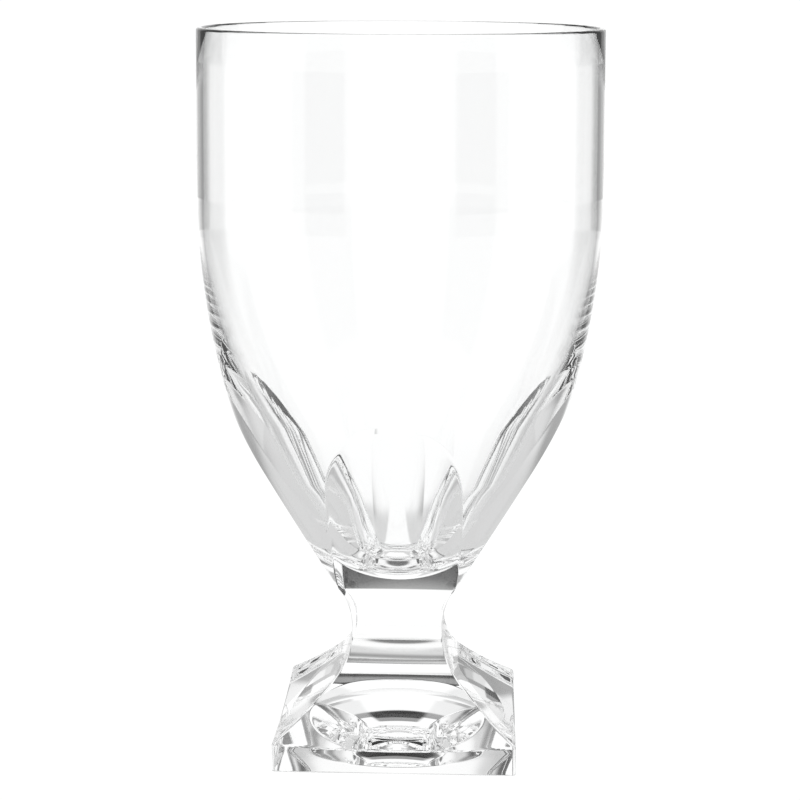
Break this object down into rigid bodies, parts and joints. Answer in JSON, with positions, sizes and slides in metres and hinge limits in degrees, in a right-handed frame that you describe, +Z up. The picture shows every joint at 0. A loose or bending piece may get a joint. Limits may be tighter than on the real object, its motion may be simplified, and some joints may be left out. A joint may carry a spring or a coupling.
{
  "type": "stemmed wine glass",
  "caption": "Clear wine glass with a wide round bowl, hollow-cut lower panels, a short square stem and a square flared foot.",
  "frame": {"origin": "on the table under the middle of the square foot", "axes": "+Z up along the axis of the glass, +X to the right and +Y away from the viewer, both square to the sides of the foot"},
  "size_m": [0.0942, 0.0942, 0.17],
  "materials": {
    "crystal": "polished clear"
  },
  "bodies": {
    "root": {"bowl": "crystal", "stem": "crystal", "foot": "crystal"}
  },
  "joints": []
}
